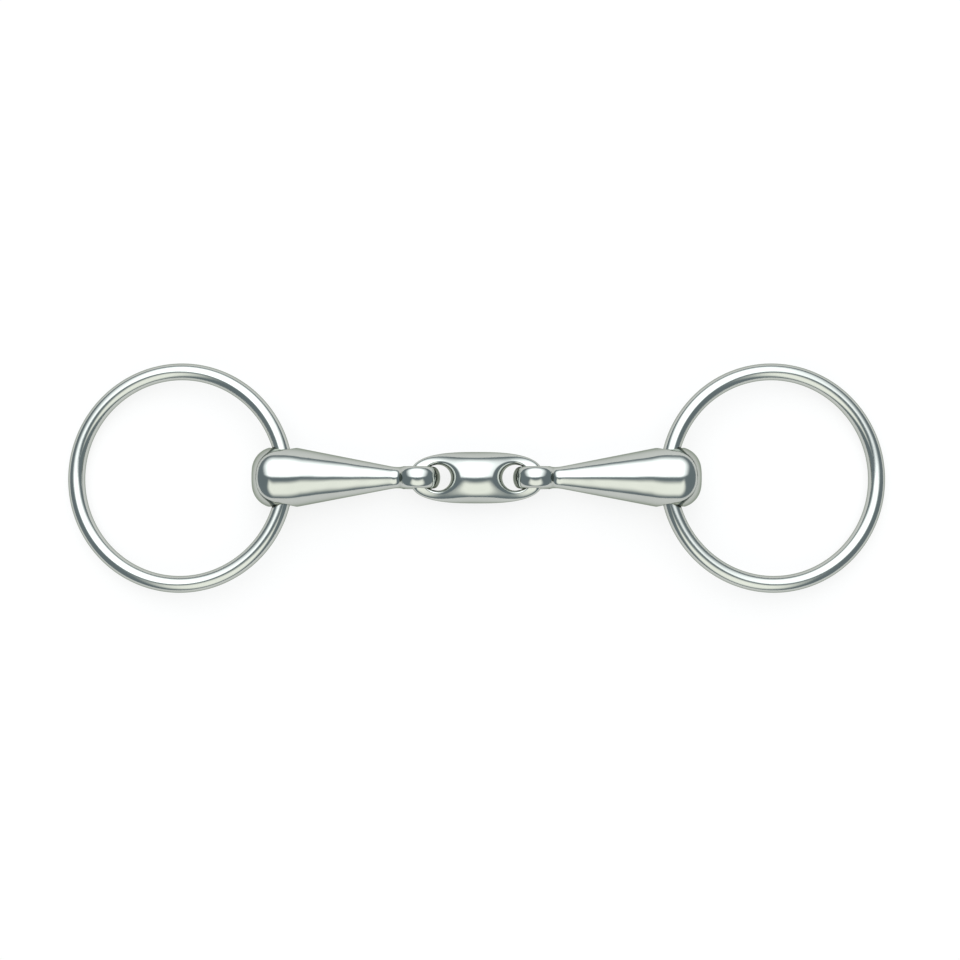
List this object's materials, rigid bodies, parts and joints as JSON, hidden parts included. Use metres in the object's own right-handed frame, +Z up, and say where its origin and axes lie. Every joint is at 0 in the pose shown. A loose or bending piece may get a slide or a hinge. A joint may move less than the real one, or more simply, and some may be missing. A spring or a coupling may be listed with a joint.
{
  "type": "loose ring snaffle bit",
  "caption": "Loose-ring horse bit with a double-jointed mouthpiece: tapered cannons hinged to an oval centre link, a round ring free in each outer end.",
  "frame": {"origin": "on the table that the bit lies on, under the middle of the centre link", "axes": "+X along the mouthpiece from the left ring to the right ring, +Y across it, +Z up from the table"},
  "size_m": [0.2682, 0.075, 0.02],
  "materials": {
    "polished_steel": "polished"
  },
  "bodies": {
    "centre_link": {"centre_link": "polished_steel"},
    "left_cannon": {"left_cannon": "polished_steel"},
    "right_cannon": {"right_cannon": "polished_steel"},
    "left_ring": {"left_ring": "polished_steel"},
    "right_ring": {"right_ring": "polished_steel"}
  },
  "joints": [
    {"name": "left_cannon_fold", "type": "hinge", "parent": "centre_link", "child": "left_cannon", "pos_m": [-0.01925, 0, 0.0074], "axis": [0, 1, 0], "range_deg": [-45, 40]},
    {"name": "right_cannon_fold", "type": "hinge", "parent": "centre_link", "child": "right_cannon", "pos_m": [0.01925, 0, 0.0074], "axis": [0, -1, 0], "range_deg": [-45, 40]},
    {"name": "left_ring_swing", "type": "hinge", "parent": "left_cannon", "child": "left_ring", "pos_m": [-0.06298, 0, 0.00995], "axis": [0, 1, 0], "range_deg": [-81, 99]},
    {"name": "right_ring_swing", "type": "hinge", "parent": "right_cannon", "child": "right_ring", "pos_m": [0.06298, 0, 0.00995], "axis": [0, -1, 0], "range_deg": [-81, 99]}
  ]
}
